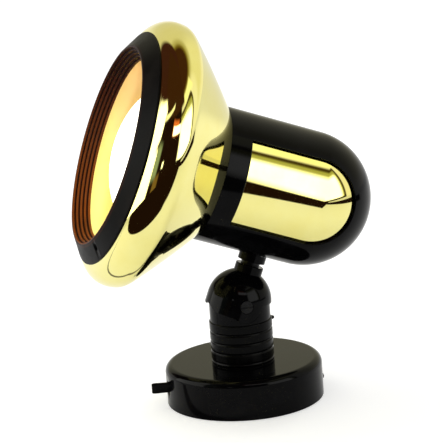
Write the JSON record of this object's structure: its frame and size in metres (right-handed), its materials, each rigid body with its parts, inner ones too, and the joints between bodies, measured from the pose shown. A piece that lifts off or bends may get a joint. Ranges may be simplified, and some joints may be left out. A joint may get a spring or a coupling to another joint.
{
  "type": "wall spot lamp",
  "caption": "Wall lamp with a round canopy and side toggle, a short ribbed stem that turns, and a tilting bullet head with a flared brass shade.",
  "frame": {"origin": "middle of the canopy's open face, which lies on the wall", "axes": "+Z out of the wall along the stem, -Y towards the side that the lamp shines to, X along the tilt axis"},
  "size_m": [0.169, 0.1894, 0.2454],
  "materials": {
    "black_gloss": "gloss",
    "black_plastic": "gloss",
    "black_screw": "satin",
    "black_ring": "satin",
    "polished_brass": "polished",
    "plain_brass": "satin",
    "zinc_steel": "satin",
    "ivory_plastic": "matte",
    "lead_sleeve": "matte",
    "holder_ceramic": "gloss",
    "lamp_glass": "gloss",
    "lamp_cap": "satin",
    "lamp_base": "gloss"
  },
  "bodies": {
    "base": {"wall_plate": "zinc_steel", "base_cover": "black_gloss", "cover_screw": "black_screw", "terminal_block": "ivory_plastic", "terminal_screws": "plain_brass", "switch_body": "ivory_plastic", "switch_tags": "plain_brass", "pan_bush": "ivory_plastic", "base_leads": "lead_sleeve"},
    "toggle": {"toggle_lever": "black_plastic"},
    "stem": {"ribbed_sleeve": "black_plastic", "pan_tube": "plain_brass", "pan_nuts": "zinc_steel", "pan_spring_washer": "zinc_steel", "joint_cup": "black_gloss", "sleeve_screw": "black_screw", "pivot_bolt": "black_screw", "pivot_nut": "zinc_steel", "friction_washers": "zinc_steel", "stem_leads": "lead_sleeve"},
    "head": {"joint_hood": "black_gloss", "neck_collar": "black_gloss", "neck_tube": "plain_brass", "neck_nuts": "zinc_steel", "neck_saddle": "zinc_steel", "neck_boss": "black_gloss", "housing": "black_gloss", "inner_can": "polished_brass", "holder_bracket": "zinc_steel", "holder_nipple": "plain_brass", "nipple_nut": "zinc_steel", "lampholder": "holder_ceramic", "holder_shell": "plain_brass", "holder_contact": "plain_brass", "head_leads": "lead_sleeve", "shade": "polished_brass", "shade_lip": "polished_brass", "shade_screws": "zinc_steel", "baffle_ring": "black_ring", "ring_screws": "black_screw", "bulb_glass": "lamp_glass", "bulb_cap": "lamp_cap", "bulb_contact": "lamp_base"}
  },
  "joints": [
    {"name": "stem_turn", "type": "hinge", "parent": "base", "child": "stem", "pos_m": [0, 0, 0.03], "axis": [0, 0, 1], "range_deg": [-170, 170]},
    {"name": "head_tilt", "type": "hinge", "parent": "stem", "child": "head", "pos_m": [0, 0, 0.0642], "axis": [-1, 0, 0], "range_deg": [-21.5, 2]},
    {"name": "toggle_throw", "type": "hinge", "parent": "base", "child": "toggle", "pos_m": [0, -0.0415, 0.0128], "axis": [0, 0, 1], "range_deg": [0, 20]}
  ]
}
